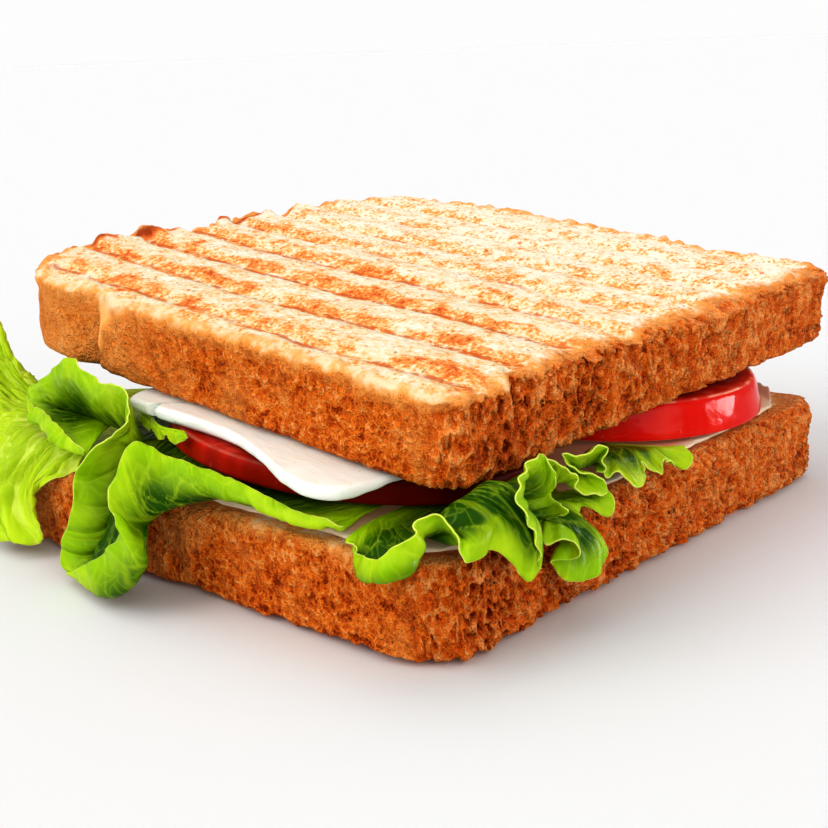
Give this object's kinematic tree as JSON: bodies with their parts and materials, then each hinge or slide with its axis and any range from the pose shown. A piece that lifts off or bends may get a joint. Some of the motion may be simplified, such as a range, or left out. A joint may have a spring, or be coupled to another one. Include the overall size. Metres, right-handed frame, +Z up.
{
  "type": "turkey sandwich",
  "caption": "Square grilled sandwich: toasted bread above and below holds sliced turkey, ruffled lettuce and sliced tomato, which show at its sides.",
  "frame": {"origin": "middle of the flat underside of the bottom bread slice", "axes": "+Z up, out of the grilled face; -Y towards the long crust side where the tongue of lettuce hangs, +X towards the flat base of the loaf, -X towards its domed crown"},
  "size_m": [0.1375, 0.1217, 0.0467],
  "materials": {
    "toast": "rough",
    "turkey": "satin",
    "poultry": "satin",
    "lettuce": "semi-gloss",
    "tomato": "glossy"
  },
  "bodies": {
    "root": {"bread_bottom": "toast", "bread_top": "toast", "tomato_left": "tomato", "tomato_right": "tomato", "turkey_lower": "turkey", "turkey_upper": "poultry", "lettuce_left": "lettuce", "lettuce_far": "lettuce", "lettuce_front": "lettuce", "lettuce_right": "lettuce", "lettuce_upper": "lettuce", "lettuce_back": "lettuce"}
  },
  "joints": []
}
